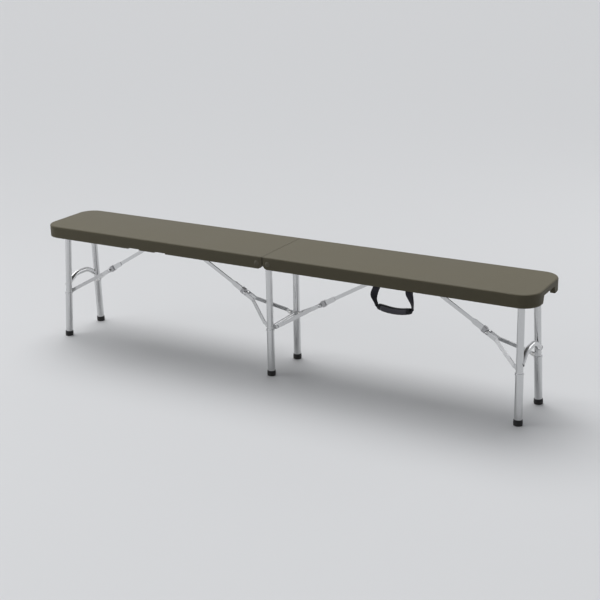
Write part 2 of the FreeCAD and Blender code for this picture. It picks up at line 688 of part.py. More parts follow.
def tab_sheet(name, pivots, lean, heel, reach):
    """A flat tab beside a leg, rounded about each brace pivot, with their holes."""
    face = f"-({heel} + bar_thick + tab_play + tab_thick)"
    first = pivots[0]
    discs = []
    holes = []
    for number, pivot in enumerate(pivots, start=1):
        discs.append(cross_rod(f"{name}_disc_{number}", "tab_radius * 2", "tab_thick", str(pivot.x),
                               face, str(pivot.z)))
        holes.append(cross_rod(f"{name}_hole_{number}", "rivet_dia", "tab_thick + 2", str(pivot.x),
                               face + " - 1", str(pivot.z)))
    bar = box(name + "_bar", str(reach), "tab_thick", "tab_radius * 2")
    turn = FreeCAD.Rotation(vector(0, 1, 0), lean)
    bar.Placement.Rotation = turn
    corner = turn.multVec(vector(0, 0, -mm["tab_radius"]))
    bind(bar, Placement__Base__x=str(first.x + corner.x), Placement__Base__y=face,
         Placement__Base__z=str(first.z + corner.z))
    return fused(name + "_sheet", bar, *discs), holes


def frame_nodes(prefix, line, cross, header, header_rod, pivots, lean, heel, reach):
    """The nodes of one leg frame, from its near leg, its header and its cross piece.

    The cross piece is its name, its pipe, and the solids that pass through the tabs.
    """
    cross_name, pipe, tab_cutters = cross
    top, foot, down = line
    upper, lower, foot_cap = leg_pieces(prefix + "_near", line, header_rod)
    far_upper = to_far(prefix + "_far_upper", upper)
    far_lower = to_far(prefix + "_far_lower", lower)
    rods = []
    for side in (1, -1):
        start = vector(top.x, top.y * side, top.z)
        end = vector(foot.x, foot.y * side, foot.z)
        rods.append(rod(f"{prefix}_core_{side + 1}", "upper_dia", str((end - start).Length),
                        pointing(start, (end - start).normalize())))
    blank, holes = tab_sheet(prefix + "_tab", pivots, lean, heel, reach)
    near_tab = cut(prefix + "_near_tab", blank, rods[0], *holes, *tab_cutters)
    studs = []
    for number, pivot in enumerate(pivots, start=1):
        studs.append(stud(f"{prefix}_stud_{number}", pivot, heel))
    near_studs = group(prefix + "_near_studs", *studs) if len(studs) > 1 else studs[0]
    return [
        ("header", header),
        ("near_upper_leg", upper), ("far_upper_leg", far_upper),
        ("near_lower_leg", lower), ("far_lower_leg", far_lower),
        ("foot_caps", group(prefix + "_feet", foot_cap, to_far(prefix + "_far_foot", foot_cap))),
        (cross_name, cut(prefix + "_cross", pipe, *rods)),
        ("brace_tabs", group(prefix + "_tabs", near_tab, to_far(prefix + "_far_tab", near_tab))),
        ("brace_studs", group(prefix + "_studs", near_studs, to_far(prefix + "_far_studs", near_studs))),
    ]


def end_frame():
    """The right end leg frame, hung on the journals of its top tube."""
    line = leg_line(mm["leg_top_x"], -mm["end_top_half"], mm["leg_foot_x"], -mm["end_foot_half"])
    flat_down = (vector(mm["leg_foot_x"], 0, 0) - vector(mm["leg_top_x"], 0, leg_top_z)).normalize()
    outward = vector(-flat_down.z, 0, flat_down.x)
    barrel = cross_rod("end_header_barrel", "upper_dia", "top_tube_half * 2", "leg_top_x",
                       "-top_tube_half", LEG_TOP_Z)
    bore = cross_rod("end_header_bore", "upper_dia - tube_wall * 2", "top_tube_half * 2 - 4",
                     "leg_top_x", "-top_tube_half + 2", LEG_TOP_Z)
    tube = cut("end_header_tube", barrel, bore)
    journals = []
    for side, base in ((1, "-top_tube_half - journal_len"), (-1, "top_tube_half")):
        journals.append(cross_rod(f"end_journal_{side + 1}", "journal_dia", "journal_len", "leg_top_x",
                                  base, LEG_TOP_Z))
    header = fused("end_header", tube, *journals)
    brace = end_brace()
    lean = math.degrees(math.atan2(flat_down.x, -flat_down.z))
    arch = ("cross_arch", arch_pipe(line, outward * mm["arch_set"]), [])
    return frame_nodes("end", line, arch, header, barrel, [brace.leg], lean, "end_heel", mm["end_offset"] + 2)


def centre_frame():
    """The leg frame under the seam, with tabs for both centre braces."""
    line = leg_line(0, -mm["centre_half"], 0, -mm["centre_half"])
    barrel = cross_rod("centre_header_barrel", "upper_dia", "plate_half * 2", "0", "-plate_half", LEG_TOP_Z)
    bore = cross_rod("centre_header_bore", "upper_dia - tube_wall * 2", "plate_half * 2 + 2", "0",
                     "-plate_half - 1", LEG_TOP_Z)
    header = cut("centre_header", barrel, bore)
    core = cross_rod("centre_cross_core", "cross_dia", "centre_half * 2", "0", "-centre_half", "cross_height")
    hollow = cross_rod("centre_cross_hollow", "cross_dia - tube_wall * 2", "centre_half * 2 + 2", "0",
                       "-centre_half - 1", "cross_height")
    straight = ("cross_tube", cut("centre_cross_pipe", core, hollow), [core])
    right = centre_brace().leg
    left = vector(-right.x, 0, right.z)
    return frame_nodes("centre", line, straight, header, barrel, [left, right], 0, "centre_heel",
                       mm["centre_offset"] * 2)


def hinge_plate():
    """The near hinge plate, with a hole for each fold pin."""
    body = doc.addObject("PartDesign::Body", "near_hinge_plate")
    strip = outline(body, "plate_strip", [
        ("-hinge_x", HINGE_Z + " - plate_radius"), ("hinge_x", HINGE_Z + " - plate_radius"),
        ("hinge_x", HINGE_Z + " + plate_radius"), ("-hinge_x", HINGE_Z + " + plate_radius")],
        "plate_half", "XZ_Plane")
    pad(body, strip, "plate_thick")
    for place, x in (("left", "-hinge_x"), ("right", "hinge_x")):
        pad(body, disc(body, f"plate_{place}_end", x, HINGE_Z, "plate_radius * 2", "plate_half", "XZ_Plane"),
            "plate_thick")
    for place, x in (("left", "-hinge_x"), ("right", "hinge_x")):
        pocket(body, disc(body, f"plate_{place}_hole", x, HINGE_Z, "pin_dia", "plate_half", "XZ_Plane"),
               "plate_thick * 3", True)
    return body


def fold_pins():
    """The four fold pins: in a hinge plate, through the skirt, headed outside it."""
    pins = []
    for place, x in (("left", "-hinge_x"), ("right", "hinge_x")):
        outside = "-(seat_width / 2 + head_gap)"
        shank = cross_rod(f"{place}_pin_shank", "pin_dia", "seat_width / 2 + head_gap - plate_half + 2",
                          x, outside, HINGE_Z)
        head = cut(f"{place}_pin_head",
                   dome(f"{place}_pin_dome", "pin_head_dia", "pin_head", x, outside, HINGE_Z, -1),
                   cross_rod(f"{place}_pin_dish", "head_dish_dia", "head_dish + 1", x,
                             outside + " - pin_head - 1", HINGE_Z))
        shoulder = cross_rod(f"{place}_pin_shoulder", "shoulder_dia",
                             "seat_width / 2 - skirt_wall - plate_half - plate_thick - head_gap", x,
                             "-(seat_width / 2 - skirt_wall - head_gap)", HINGE_Z)
        pins.append(fused(f"{place}_near_pin", shank, head, shoulder))
    for place, pin in zip(("left", "right"), list(pins)):
        pins.append(to_far(f"{place}_far_pin", pin))
    return group("all_fold_pins", *pins)


def leg_brackets():
    """The angle brackets that carry the right end frame's journals."""
    body = doc.addObject("PartDesign::Body", "near_leg_bracket")
    flange = outline(body, "leg_flange", [
        ("leg_top_x - leg_bracket_len / 2", "-leg_bracket_half - leg_bracket_wide"),
        ("leg_top_x + leg_bracket_len / 2", "-leg_bracket_half - leg_bracket_wide"),
        ("leg_top_x + leg_bracket_len / 2", "-leg_bracket_half"),
        ("leg_top_x - leg_bracket_len / 2", "-leg_bracket_half")], CEILING + " - leg_bracket_thick")
    pad(body, flange, "leg_bracket_thick")
    ear = outline(body, "leg_ear", [
        ("leg_top_x - leg_ear_radius", LEG_TOP_Z), ("leg_top_x + leg_ear_radius", LEG_TOP_Z),
        ("leg_top_x + leg_bracket_len / 2", CEILING), ("leg_top_x - leg_bracket_len / 2", CEILING)],
        "leg_bracket_half", "XZ_Plane")
    pad(body, ear, "leg_bracket_thick")
    pad(body, disc(body, "leg_ear_round", "leg_top_x", LEG_TOP_Z, "leg_ear_radius * 2",
                   "leg_bracket_half", "XZ_Plane"), "leg_bracket_thick")
    pocket(body, disc(body, "leg_ear_hole", "leg_top_x", LEG_TOP_Z, "journal_dia + journal_play * 2",
                      "leg_bracket_half", "XZ_Plane"), "leg_bracket_thick * 3", True)
    holes = screw_holes("leg", ceiling)
    near_one = cut("near_leg_bracket_drilled", body, *holes)
    return group("both_leg_brackets", near_one, to_far("far_leg_bracket", near_one))


def screw_holes(prefix, face):
    """The clearance holes for those screws that enter the seat at the given height."""
    holes = []
    for number, (x, y, base, sheet_thick) in enumerate(screw_places(), start=1):
        if near(base, face):
            holes.append(rod(f"{prefix}_clear_{number}", "screw_dia", str(sheet_thick + 2),
                             pointing(vector(x, y, base - sheet_thick - 1), UP)))
    return holes


def link_brackets():
    """The two saddle brackets in the channel, one for each link of the right half."""
    brackets = []
    for name, brace in (("end", end_brace()), ("centre", centre_brace())):
        pivot = brace.link
        plate = box(f"{name}_saddle_plate", "link_bracket_len", "link_bracket_len", "link_bracket_thick",
                    f"{pivot.x} - link_bracket_len / 2", "-link_bracket_len / 2",
                    CHANNEL + " - link_bracket_thick")
        pieces = [plate]
        for side, base in (("near", "-(bar_thick / 2 + link_ear_play + link_bracket_thick)"),
                           ("far", "bar_thick / 2 + link_ear_play")):
            pieces.append(box(f"{name}_{side}_ear", "link_ear_len", "link_bracket_thick",
                              f"{CHANNEL} - link_bracket_thick / 2 - {pivot.z} + link_ear_low",
                              f"{pivot.x} - link_ear_len / 2", base, f"{pivot.z} - link_ear_low"))
        hole = cross_rod(f"{name}_saddle_hole", "rivet_dia", "link_bracket_len", str(pivot.x),
                         "-link_bracket_len / 2", str(pivot.z))
        brackets.append(cut(name + "_saddle", fused(name + "_saddle_blank", *pieces), hole))
    drilled = cut("drilled_saddles", group("both_saddles", *brackets), *screw_holes("saddle", channel_top))
    return drilled


def link_pins():
    """The headed pins of the right half's two link brackets."""
    pins = []
    for name, brace in (("end", end_brace()), ("centre", centre_brace())):
        x = str(brace.link.x)
        z = str(brace.link.z)
        ear = "(bar_thick / 2 + link_ear_play + link_bracket_thick)"
        shank = cross_rod(f"{name}_link_shank", "rivet_dia", ear + " * 2", x, "-" + ear, z)
        heads = [dome(f"{name}_link_head_near", "rivet_head_dia", "rivet_head", x, "-" + ear, z, -1),
                 dome(f"{name}_link_head_far", "rivet_head_dia", "rivet_head", x, ear, z, 1)]
        pins.append(fused(f"{name}_link_pin", shank, *heads))
    return group("both_link_pins", *pins)


def bracket_screws():
    """The pan-head screws of the right half's brackets."""
    screws = []
    for number, (x, y, base, sheet_thick) in enumerate(screw_places(), start=1):
        under = base - sheet_thick
        shank = rod(f"shank_{number}", "screw_dia", f"{sheet_thick} + screw_bite",
                    pointing(vector(x, y, under), UP))
        head = rod(f"head_{number}", "screw_head_dia", "screw_head",
                   pointing(vector(x, y, under - mm["screw_head"]), UP))
        screws.append(fused(f"screw_{number}", shank, head))
    return group("all_screws", *screws)


def strap_mounts():
    """The straps' flat ends under the right half's near rim, and their screws."""
    ends = []
    screws = []
    for number, x in enumerate(strap_middles(), start=1):
        flat = box(f"strap_end_{number}_flat", "strap_width", "strap_tab_len", "strap_thick",
                   f"{x} - strap_width / 2", "-strap_fold_y", RIM + " - strap_thick")
        hole = rod(f"strap_end_{number}_hole", "screw_dia", "strap_thick + 2",
                   pointing(vector(x, strap_screw_y, seat_low - mm["strap_thick"] - 1), UP))
        ends.append(cut(f"strap_end_{number}", flat, hole))
        under = vector(x, strap_screw_y, seat_low - mm["strap_thick"])
        shank = rod(f"strap_shank_{number}", "screw_dia", "strap_thick + screw_bite * 2", pointing(under, UP))
        head = rod(f"strap_head_{number}", "screw_head_dia", "strap_screw_head",
                   pointing(under - UP * mm["strap_screw_head"], UP))
        screws.append(fused(f"strap_screw_{number}", shank, head))
    node("handle_strap_ends", group("both_strap_ends", *ends))
    node("handle_strap_screws", group("both_strap_screws", *screws))


def twisted_web(top, end, bow, twist):
    """A hanging strap that turns about its middle line as it goes down, with a bow along the seat."""
    rings = []
    for part in (0, 1 / 6, 1 / 3, 1 / 2, 2 / 3, 5 / 6, 1):
        ease = part * part * (3 - 2 * part)
        middle = vector(top.x + (end.x - top.x) * ease + bow * math.sin(math.pi * part),
                        top.y + (end.y - top.y) * ease, top.z + (end.z - top.z) * part)
        angle = math.radians(twist * ease)
        half = (mm["strap_width"] + (mm["strap_end_width"] - mm["strap_width"]) * ease) / 2
        wide = vector(math.cos(angle), math.sin(angle), 0) * half
        thick = vector(-math.sin(angle), math.cos(angle), 0) * (mm["strap_thick"] / 2)
        corners = [middle - wide - thick, middle + wide - thick, middle + wide + thick, middle - wide + thick]
        rings.append(Part.makePolygon(corners + [corners[0]]))
    return Part.makeLoft(rings, True, False)


def carry_handle():
    """The swinging part of the handle: two hanging straps and the grip between them."""
    middle = mm["handle_x"] + mm["grip_shift"]
    half = mm["grip_len"] / 2
    grip_y = mm["strap_lean"] - mm["strap_fold_y"]
    end_z = strap_fold_z - mm["strap_drop"]
    third = mm["grip_len"] / 6
    low_z = end_z - mm["grip_sag"]
    points = [vector(middle - half, grip_y, end_z), vector(middle - third, grip_y, low_z),
              vector(middle + third, grip_y, low_z), vector(middle + half, grip_y, end_z)]
    grip = bent_tube("grip_tube", points, mm["grip_bend"], mm["grip_high"], mm["grip_wide"], 0)
    straps = []
    for number, (x, end_x, bow, twist) in enumerate((
            (strap_middles()[0], points[0].x + mm["strap_entry"], -mm["strap_bow"], mm["strap_twist"]),
            (strap_middles()[1], points[-1].x - mm["strap_entry"], mm["far_strap_bow"], mm["far_strap_twist"])),
            start=1):
        corner = vector(x - mm["strap_width"] / 2, -mm["strap_fold_y"], strap_fold_z)
        fold = rod(f"strap_{number}_fold", "strap_fold_dia", "strap_width", pointing(corner, vector(1, 0, 0)))
        web = doc.addObject("Part::Feature", f"strap_{number}_web")
        web.Shape = twisted_web(vector(x, corner.y, corner.z), vector(end_x, grip_y, end_z), bow, twist)
        straps.append(fused(f"strap_{number}_blank", fold, web))
    node("handle_straps", cut("cut_straps", group("both_straps", *straps), grip))
    node("handle_grip", grip)


seat_halves()

node("near_hinge_plate", hinge_plate())
node("far_hinge_plate", to_far("far_plate", nodes[-1]))
node("fold_pins", fold_pins())

for name, item in centre_frame():
    node("centre_" + name, item)

sided = [("end_" + name, item) for name, item in end_frame()]
sided.append(("leg_brackets", leg_brackets()))
sided.append(("link_brackets", link_brackets()))
sided.append(("link_pins", link_pins()))
sided.append(("bracket_screws", bracket_screws()))
for place, brace, heel in (("end", end_brace(), "end_heel"), ("centre", centre_brace(), "centre_heel")):
    near_arm = arm_piece(f"{place}_near_arm", brace, heel)
    sided.append((f"{place}_link", link_piece(f"{place}_link_bar", brace)))
    sided.append((f"{place}_knee_pin", knee_pin(f"{place}_knee_rod", brace)))
    sided.append((f"{place}_lock_ring", lock_ring(f"{place}_ring", brace)))
    sided.append((f"{place}_brace_arms", group(f"{place}_arms", near_arm, to_far(f"{place}_far_arm", near_arm))))
for name, item in sided:
    node("right_" + name, item)
    node("left_" + name, to_left("mirrored_" + name, item))

strap_mounts()
carry_handle()

doc.recompute()
for item in doc.Objects:
    if "Invalid" in item.State or "Error" in item.State:
        raise RuntimeError(f"{item.Name} failed: {item.State}")
for item in nodes:
    if item.Shape.isNull() or not item.Shape.isValid():
        raise RuntimeError(f"{item.Label} has no valid shape")

os.makedirs("parts", exist_ok=True)
for item in nodes:
    item.Shape.exportStep(f"parts/{item.Label}.step")
    print(item.Label, "solids", len(item.Shape.Solids), "volume", round(item.Shape.Volume, 1))
print("nodes", len(nodes))
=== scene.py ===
import bpy
import bmesh
import json
from math import cos, pi, radians, sin
from mathutils import Matrix, Vector


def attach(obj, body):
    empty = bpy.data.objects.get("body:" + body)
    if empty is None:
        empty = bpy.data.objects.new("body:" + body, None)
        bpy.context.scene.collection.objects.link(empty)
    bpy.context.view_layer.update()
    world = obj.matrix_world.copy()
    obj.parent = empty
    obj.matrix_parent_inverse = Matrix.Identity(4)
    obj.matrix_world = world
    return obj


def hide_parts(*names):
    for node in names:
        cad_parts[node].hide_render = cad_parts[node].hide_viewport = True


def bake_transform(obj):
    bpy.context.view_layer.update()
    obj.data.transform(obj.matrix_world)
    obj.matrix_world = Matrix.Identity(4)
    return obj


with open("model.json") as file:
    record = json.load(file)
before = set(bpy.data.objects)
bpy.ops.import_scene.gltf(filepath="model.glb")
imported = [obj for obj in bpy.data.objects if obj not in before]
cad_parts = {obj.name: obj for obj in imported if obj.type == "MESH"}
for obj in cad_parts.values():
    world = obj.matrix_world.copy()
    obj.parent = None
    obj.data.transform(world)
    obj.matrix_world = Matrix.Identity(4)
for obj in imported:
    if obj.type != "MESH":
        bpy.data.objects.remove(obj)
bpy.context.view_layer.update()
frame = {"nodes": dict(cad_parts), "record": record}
nodes = frame["nodes"]
print("frame loaded:", len(nodes), "nodes")


# Helpers for objects and shader nodes

def addObject(name, data):
    obj = bpy.data.objects.new(name, data)
    bpy.context.collection.objects.link(obj)
    return obj


def addNode(tree, kind, x, y, **settings):
    node = tree.nodes.new(kind)
    node.location = (x, y)
    for key, value in settings.items():
        setattr(node, key, value)
    return node


def feed(tree, value, socket):
    # value is another node's output, or a fixed number or colour
    if isinstance(value, bpy.types.NodeSocket):
        tree.links.new(value, socket)
    else:
        socket.default_value = value


def mathNode(tree, what, x, y, first, second=None):
    node = addNode(tree, "ShaderNodeMath", x, y, operation=what)
    feed(tree, first, node.inputs[0])
    if second is not None:
        feed(tree, second, node.inputs[1])
    return node.outputs[0]


def rangeNode(tree, x, y, value, span, wanted=(0.0, 1.0)):
    # value runs over span, and comes out over wanted
    node = addNode(tree, "ShaderNodeMapRange", x, y, clamp=True)
    for label, given in zip(("Value", "From Min", "From Max", "To Min", "To Max"), (value, *span, *wanted)):
        feed(tree, given, node.inputs[label])
    return node.outputs["Result"]


def rampNode(tree, x, y, value, stops):
    node = addNode(tree, "ShaderNodeValToRGB", x, y)
    for stop, (position, color) in zip(node.color_ramp.elements, stops):
        stop.position, stop.color = position, color
    feed(tree, value, node.inputs["Fac"])
    return node.outputs["Color"]


def noiseNode(tree, x, y, vector, size, detail, roughness=0.5):
    node = addNode(tree, "ShaderNodeTexNoise", x, y)
    for label, given in zip(("Vector", "Scale", "Detail", "Roughness"), (vector, size, detail, roughness)):
        feed(tree, given, node.inputs[label])
    return node.outputs["Fac"]


def axisOf(tree, x, y, vector, axis):
    node = addNode(tree, "ShaderNodeSeparateXYZ", x, y)
    feed(tree, vector, node.inputs["Vector"])
    return node.outputs[axis]


def toned(tree, x, y, color, tone):
    # a colour made lighter or darker by a tone around 1
    node = addNode(tree, "ShaderNodeVectorMath", x, y, operation="SCALE")
    feed(tree, color, node.inputs[0])
    feed(tree, tone, node.inputs["Scale"])
    return node.outputs["Vector"]


def blended(tree, x, y, mask, first, second):
    # each colour is (r, g, b) or another node's output
    node = addNode(tree, "ShaderNodeMix", x, y, data_type="RGBA")
    feed(tree, mask, node.inputs["Factor"])
    for value, socket in ((first, node.inputs[6]), (second, node.inputs[7])):
        feed(tree, value + (1,) if isinstance(value, tuple) else value, socket)
    return node.outputs[2]


def startMaterial(name):
    mat = bpy.data.materials.new(name)
    mat.use_nodes = True
    shader = mat.node_tree.nodes["Principled BSDF"]
    shader.location = (500, 0)
    return mat, mat.node_tree, shader


# Camera

view = {
    "azimuth": 30.105, "elevation": 18.522, "roll": -1.100,   # degrees
    "focal": 1209.1, "frame": 600,                            # pixels
    "spot": (1.9741, -3.2932, 1.5230), "farthest": 200,       # metres
    "sensor": 36,                                             # millimetres
}


def makeCamera():
    az, el, roll = (radians(view[key]) for key in ("azimuth", "elevation", "roll"))
    ahead = Vector((-sin(az) * cos(el), cos(az) * cos(el), -sin(el)))
    side = ahead.cross(Vector((0, 0, 1))).normalized()
    top = side.cross(ahead)
    right = side * cos(roll) + top * sin(roll)
    up = top * cos(roll) - side * sin(roll)
    cam = bpy.data.cameras.new("photoCamera")
    cam.sensor_width = view["sensor"]
    cam.lens = view["focal"] / view["frame"] * view["sensor"]
    cam.clip_end = view["farthest"]
    obj = addObject("photoCamera", cam)
    turn = Matrix((right, up, -ahead)).transposed().to_4x4()
    obj.matrix_world = Matrix.Translation(view["spot"]) @ turn
    bpy.context.scene.camera = obj


# Lights, sky and floor

lamps = {   # places and sizes in metres
    "keyLeft": {"spot": (-3.2, -2.0, 1.5), "size": (1.2, 1.8), "watts": 20, "target": (-0.1, 0, 0.25)},
    "backRight": {"spot": (2.2, 2.8, 1.7), "size": (1.6, 1.2), "watts": 9, "target": (0.3, 0, 0.3)},
}
overhead = {"from": (-0.7, 0.55, 2.0), "strength": 2.45, "spread": 55}   # spread in degrees


def aim(obj, ahead):
    obj.rotation_euler = ahead.to_track_quat("-Z", "Y").to_euler()


def makeLamp(name, lamp):
    data = bpy.data.lights.new(name, "AREA")
    data.shape = "RECTANGLE"
    data.size, data.size_y = lamp["size"]
    data.energy = lamp["watts"]
    obj = addObject(name, data)
    obj.location = lamp["spot"]
    aim(obj, Vector(lamp["target"]) - Vector(lamp["spot"]))


def makeSun():
    data = bpy.data.lights.new("overhead", "SUN")
    data.energy = overhead["strength"]
    data.angle = radians(overhead["spread"])
    aim(addObject("overhead", data), -Vector(overhead["from"]))


studio = {
    # (height, colour) low down and high up: the sky lights the object, the haze is what is seen
    "sky": ((0.02, (0.16, 0.16, 0.17, 1)), (0.7, (0.62, 0.64, 0.67, 1))), "skyStrength": 0.40,
    "haze": ((0.3, (0.62, 0.625, 0.64, 1)), (0.95, (0.20, 0.20, 0.21, 1))),
    "paper": (0.66, 0.665, 0.675), "paperBounce": (0.30, 0.30, 0.30), "paperRough": 0.8, "paperGloss": 0.2,
    "floorBox": ((-40, -40), (40, 60)),   # metres
}


def seenRay(tree):
    # 1 where the background is seen by the camera, in a reflection or through glass
    path = addNode(tree, "ShaderNodeLightPath", -800, 0)
    seen = mathNode(tree, "ADD", -600, 0, path.outputs["Is Camera Ray"], path.outputs["Is Glossy Ray"])
    return mathNode(tree, "ADD", -450, 0, seen, path.outputs["Is Transmission Ray"])


def makeWorld():
    world = bpy.data.worlds.new("studio")
    world.use_nodes = True
    tree = world.node_tree
    coords = addNode(tree, "ShaderNodeTexCoord", -700, 0)
    height = axisOf(tree, -500, 0, coords.outputs["Generated"], "Z")
    light = tree.nodes["Background"]
    feed(tree, rampNode(tree, -300, 0, height, studio["sky"]), light.inputs["Color"])
    feed(tree, studio["skyStrength"], light.inputs["Strength"])
    backdrop = addNode(tree, "ShaderNodeBackground", 200, -200)
    feed(tree, rampNode(tree, -100, -250, height, studio["haze"]), backdrop.inputs["Color"])
    mixed = addNode(tree, "ShaderNodeMixShader", 400, 0)
    for value, socket in zip((seenRay(tree), light.outputs[0], backdrop.outputs[0]), mixed.inputs):
        feed(tree, value, socket)
    feed(tree, mixed.outputs[0], tree.nodes["World Output"].inputs["Surface"])
    bpy.context.scene.world = world


def makeFloor():
    # pale paper, clear from behind so that the bench can be looked at from below
    (left, front), (right, back) = studio["floorBox"]
    mesh = bpy.data.meshes.new("floor")
    corners = [(left, front, 0), (right, front, 0), (right, back, 0), (left, back, 0)]
    mesh.from_pydata(corners, [], [(0, 1, 2, 3)])
    floor = addObject("floor", mesh)
    mat, tree, shader = startMaterial("floorPaper")
    shade = blended(tree, -250, 0, seenRay(tree), studio["paperBounce"], studio["paper"])
    feed(tree, shade, shader.inputs["Base Color"])
    behind = addNode(tree, "ShaderNodeNewGeometry", -600, -300)
    solid = mathNode(tree, "SUBTRACT", -300, -300, 1.0, behind.outputs["Backfacing"])
    feed(tree, solid, shader.inputs["Alpha"])
    feed(tree, studio["paperRough"], shader.inputs["Roughness"])
    feed(tree, studio["paperGloss"], shader.inputs["Specular IOR Level"])
    mesh.materials.append(mat)


bpy.context.scene.view_settings.view_transform = "Standard"
makeCamera()
for name, lamp in lamps.items():
    makeLamp(name, lamp)
makeSun()
makeWorld()
makeFloor()
print("stage ready")


# Effects that several materials share

noiseSpan = (0.3, 0.7)   # where most values of a noise texture lie
effects = {   # what stays the same wherever an effect is used
    "grain": {"finer": 1.9, "fineDetail": 3, "driftDetail": 5, "tone": (0.94, 1.06), "gloss": (-0.05, 0.05)},
    "rub": {"detail": 6, "patches": (0.45, 0.65), "edge": (0.0, 0.6)},
    "scuff": {"detail": 8, "roughness": 0.7, "edge": 0.1},
    "powder": {"detail": 2, "tone": (0.9, 1.1)},
    "dust": {"noiseSize": 90, "detail": 6, "edge": (0.1, 0.6)},
    "weave": {"step": 0.5, "ribRound": 0.4, "threadRound": 0.6, "tone": (0.55, 1.15)},
}


def newGroup(name, inputs, outputs):
    tree = bpy.data.node_groups.new(name, "ShaderNodeTree")
    for label, value in inputs.items():
        socket = tree.interface.new_socket(label, in_out="INPUT", socket_type="NodeSocketFloat")
        socket.default_value = value
    for label in outputs:
        tree.interface.new_socket(label, in_out="OUTPUT", socket_type="NodeSocketFloat")
    given = addNode(tree, "NodeGroupInput", -900, 0)
    result = addNode(tree, "NodeGroupOutput", 700, 0)
    return tree, given.outputs, result.inputs


def objectCoords(tree):
    return addNode(tree, "ShaderNodeTexCoord", -900, -200).outputs["Object"]


def pebbleGrain():
    # fine leather-like grain of a blown plastic skin, with slow tone drift
    tree, given, result = newGroup("pebbleGrain", {"Grain Size": 900.0, "Drift Size": 3.0},
                                   ("Height", "Tone", "Gloss"))
    fixed = effects["grain"]
    coords = objectCoords(tree)
    cells = addNode(tree, "ShaderNodeTexVoronoi", -450, 200, feature="SMOOTH_F1")
    feed(tree, coords, cells.inputs["Vector"])
    feed(tree, given["Grain Size"], cells.inputs["Scale"])
    finer = mathNode(tree, "MULTIPLY", -650, -150, given["Grain Size"], fixed["finer"])
    fine = noiseNode(tree, -450, -50, coords, finer, fixed["fineDetail"])
    slow = noiseNode(tree, -450, -300, coords, given["Drift Size"], fixed["driftDetail"])
    feed(tree, mathNode(tree, "MULTIPLY", -200, 150, cells.outputs["Distance"], fine), result["Height"])
    feed(tree, rangeNode(tree, 200, 0, slow, noiseSpan, fixed["tone"]), result["Tone"])
    feed(tree, rangeNode(tree, 200, -250, slow, noiseSpan, fixed["gloss"]), result["Gloss"])
    return tree


def rubbedBand():
    # pale rubbing along one height of the piece, broken up by noise
    tree, given, result = newGroup("rubbedBand", {"Height": 0.38, "Reach": 0.004, "Patch Size": 40.0},
                                   ("Mask",))
    fixed = effects["rub"]
    coords = objectCoords(tree)
    above = mathNode(tree, "SUBTRACT", -500, 150, axisOf(tree, -700, 150, coords, "Z"), given["Height"])
    away = mathNode(tree, "ABSOLUTE", -350, 150, above)
    band = mathNode(tree, "SUBTRACT", -50, 150, 1.0,
                    mathNode(tree, "DIVIDE", -200, 150, away, given["Reach"]))
    edge = rangeNode(tree, 100, 200, band, fixed["edge"])
    patches = noiseNode(tree, -700, -150, coords, given["Patch Size"], fixed["detail"])
    broken = rangeNode(tree, -350, -150, patches, fixed["patches"])
    feed(tree, mathNode(tree, "MULTIPLY", 300, 0, edge, broken), result["Mask"])
    return tree


def scuffStreaks():
    # thin random scratches and rubbed streaks, drawn out along one axis
    tree, given, result = newGroup("scuffStreaks", {"Size": 60.0, "Stretch": 0.06, "Amount": 0.62},
                                   ("Mask", "Height"))
    fixed = effects["scuff"]
    stretch = addNode(tree, "ShaderNodeCombineXYZ", -900, 150)
    for axis, value in (("X", given["Stretch"]), ("Y", 1), ("Z", 1)):
        feed(tree, value, stretch.inputs[axis])
    scaled = addNode(tree, "ShaderNodeVectorMath", -650, 0, operation="MULTIPLY")
    feed(tree, objectCoords(tree), scaled.inputs[0])
    feed(tree, stretch.outputs["Vector"], scaled.inputs[1])
    noise = noiseNode(tree, -400, 0, scaled.outputs["Vector"], given["Size"],
                      fixed["detail"], fixed["roughness"])
    full = mathNode(tree, "ADD", -300, 250, given["Amount"], fixed["edge"])
    feed(tree, rangeNode(tree, -100, 0, noise, (given["Amount"], full)), result["Mask"])
    feed(tree, noise, result["Height"])
    return tree


def powderSkin():
    # sprayed and baked coat: orange-peel waves with a faint sparkle of tone
    tree, given, result = newGroup("powderSkin", {"Peel Size": 420.0, "Sparkle Size": 2600.0},
                                   ("Height", "Tone"))
    fixed = effects["powder"]
    coords = objectCoords(tree)
    feed(tree, noiseNode(tree, -450, 150, coords, given["Peel Size"], fixed["detail"]), result["Height"])
    sparkle = noiseNode(tree, -450, -150, coords, given["Sparkle Size"], fixed["detail"])
    feed(tree, rangeNode(tree, 0, -150, sparkle, noiseSpan, fixed["tone"]), result["Tone"])
    return tree


def floorDust():
    # grey dust that climbs from the floor
    tree, given, result = newGroup("floorDust", {"Reach": 0.05}, ("Mask",))
    fixed = effects["dust"]
    coords = objectCoords(tree)
    climb = mathNode(tree, "DIVIDE", -300, 100, axisOf(tree, -500, 100, coords, "Z"), given["Reach"])
    fade = mathNode(tree, "SUBTRACT", -100, 100, 1.0, climb)
    noise = noiseNode(tree, -500, -150, coords, fixed["noiseSize"], fixed["detail"])
    dust = mathNode(tree, "MULTIPLY", 100, 0, fade, noise)
    feed(tree, rangeNode(tree, 300, 0, dust, fixed["edge"]), result["Mask"])
    return tree


